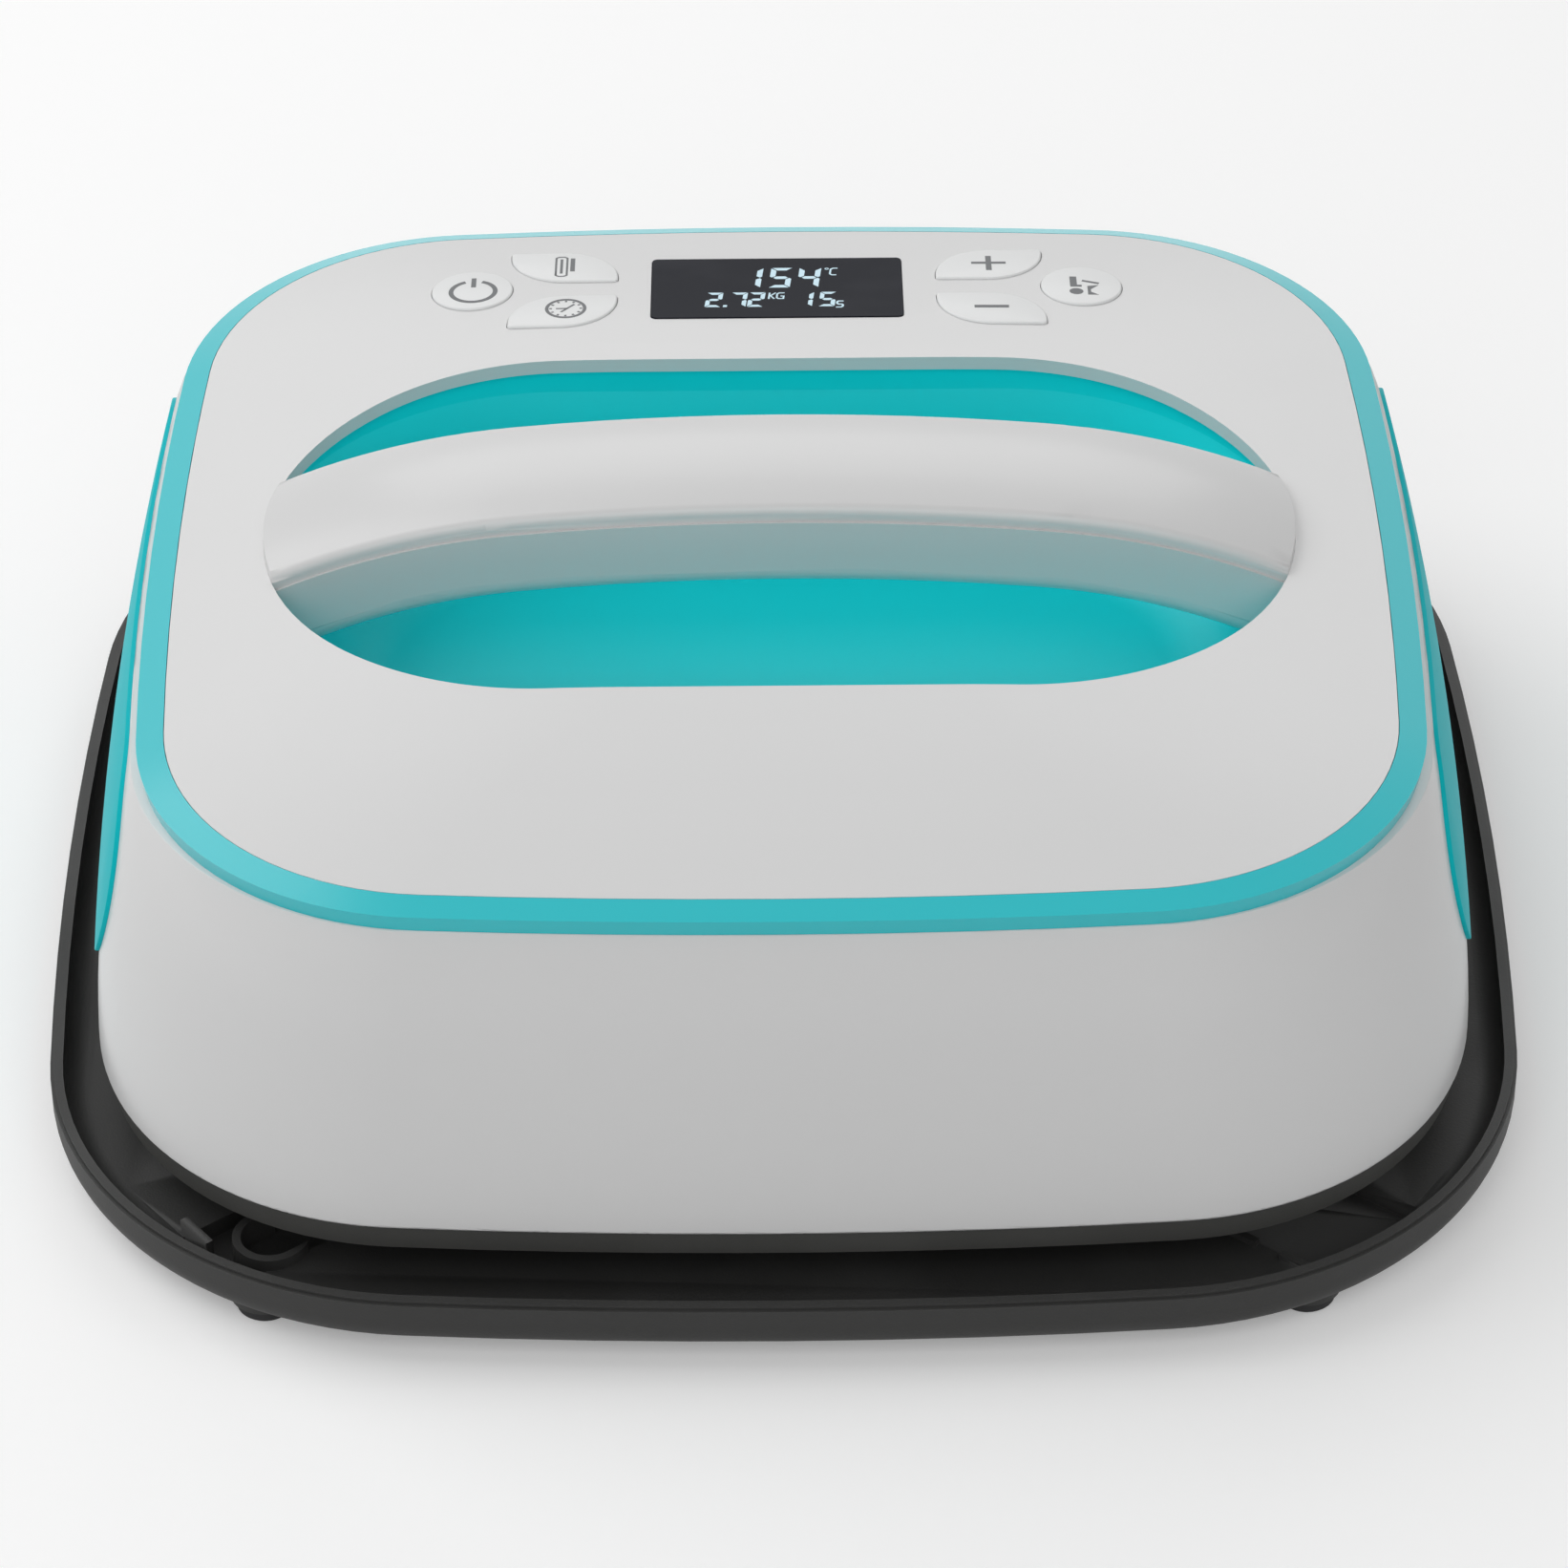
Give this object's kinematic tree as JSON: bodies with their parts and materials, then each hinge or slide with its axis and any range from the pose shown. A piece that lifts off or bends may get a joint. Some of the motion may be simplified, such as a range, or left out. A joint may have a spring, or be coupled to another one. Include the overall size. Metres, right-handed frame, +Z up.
{
  "type": "mini handheld heat press",
  "caption": "Craft heat press with bowed square housing, bridge handle over a finger bowl, key panel with display and heated plate, standing on a rest tray.",
  "frame": {"origin": "on the surface the feet stand on, under the middle of the tray", "axes": "+X to the right along the handle, +Y to the rear where the key panel is, +Z up"},
  "size_m": [0.3016, 0.2936, 0.1155],
  "materials": {
    "cover_shell": "satin moulded pale grey plastic",
    "teal_trim": "glossy teal plastic",
    "dark_tray": "matt black plastic, fine grain",
    "rubber_foot": "soft black rubber",
    "silicone_mat": "grey heat-proof silicone",
    "key_face": "pale plastic keys with grey symbols",
    "window_glass": "dark tinted, back-masked acrylic window",
    "display": "dark display with pale digits",
    "board": "green circuit board",
    "black_component": "black electronic parts",
    "copper_coil": "yellow taped coil with steel core",
    "can_sleeve": "blue sleeve",
    "green_block": "green terminal block",
    "fuse_glass": "glass tube with bright caps",
    "frame_grey": "grey glass-filled nylon",
    "coated_aluminium": "dark non-stick coated cast aluminium",
    "element_steel": "heat-tinted steel sheath",
    "sheet_steel": "bright sheet steel",
    "insulation": "pale ceramic fibre felt",
    "steel_screw": "zinc-plated steel",
    "sensor": "ceramic-bodied sensor"
  },
  "bodies": {
    "base": {"base_tray": "dark_tray", "base_feet": "rubber_foot", "tray_mat": "silicone_mat"},
    "press": {"top_cover": "cover_shell", "body_shell": "cover_shell", "side_inlay_left": "teal_trim", "side_inlay_right": "teal_trim", "rim_ring": "teal_trim", "recess_bowl": "teal_trim", "handle_upper": "cover_shell", "handle_lower": "cover_shell", "bottom_skirt": "dark_tray", "display_window": "window_glass", "display_module": "display", "control_board": "board", "key_switches": "black_component", "buzzer": "black_component", "inner_frame": "frame_grey", "power_board": "board", "transformer": "copper_coil", "relay": "black_component", "filter_capacitor": "can_sleeve", "terminal_block": "green_block", "fuse": "fuse_glass", "heat_plate": "coated_aluminium", "heating_element": "element_steel", "element_clamp": "sheet_steel", "insulation_pad": "insulation", "heat_shield": "sheet_steel", "thermistor": "sensor", "thermal_cutoff": "sensor", "load_cells": "sheet_steel", "cell_screws": "steel_screw", "plate_bolts": "steel_screw", "housing_screws": "steel_screw", "cover_screws": "steel_screw", "handle_screws": "steel_screw", "board_screws": "steel_screw", "cord_gland": "dark_tray", "gland_nut": "dark_tray"},
    "power_button_body": {"power_button": "key_face"},
    "temperature_button_body": {"temperature_button": "key_face"},
    "timer_button_body": {"timer_button": "key_face"},
    "plus_button_body": {"plus_button": "key_face"},
    "minus_button_body": {"minus_button": "key_face"},
    "mode_button_body": {"mode_button": "key_face"}
  },
  "joints": [
    {"name": "press_lift", "type": "slide", "parent": "base", "child": "press", "axis": [0, 0, 1], "range_m": [0, 0.15]},
    {"name": "power_press", "type": "slide", "parent": "press", "child": "power_button_body", "axis": [0, -0.0999, -0.995], "range_m": [0, 0.0006], "stiffness_N_per_m": 700, "springref_m": -0.0015},
    {"name": "temperature_press", "type": "slide", "parent": "press", "child": "temperature_button_body", "axis": [0, -0.0999, -0.995], "range_m": [0, 0.0006], "stiffness_N_per_m": 700, "springref_m": -0.0015},
    {"name": "timer_press", "type": "slide", "parent": "press", "child": "timer_button_body", "axis": [0, -0.0999, -0.995], "range_m": [0, 0.0006], "stiffness_N_per_m": 700, "springref_m": -0.0015},
    {"name": "plus_press", "type": "slide", "parent": "press", "child": "plus_button_body", "axis": [0, -0.0999, -0.995], "range_m": [0, 0.0006], "stiffness_N_per_m": 700, "springref_m": -0.0015},
    {"name": "minus_press", "type": "slide", "parent": "press", "child": "minus_button_body", "axis": [0, -0.0999, -0.995], "range_m": [0, 0.0006], "stiffness_N_per_m": 700, "springref_m": -0.0015},
    {"name": "mode_press", "type": "slide", "parent": "press", "child": "mode_button_body", "axis": [0, -0.0999, -0.995], "range_m": [0, 0.0006], "stiffness_N_per_m": 700, "springref_m": -0.0015}
  ]
}
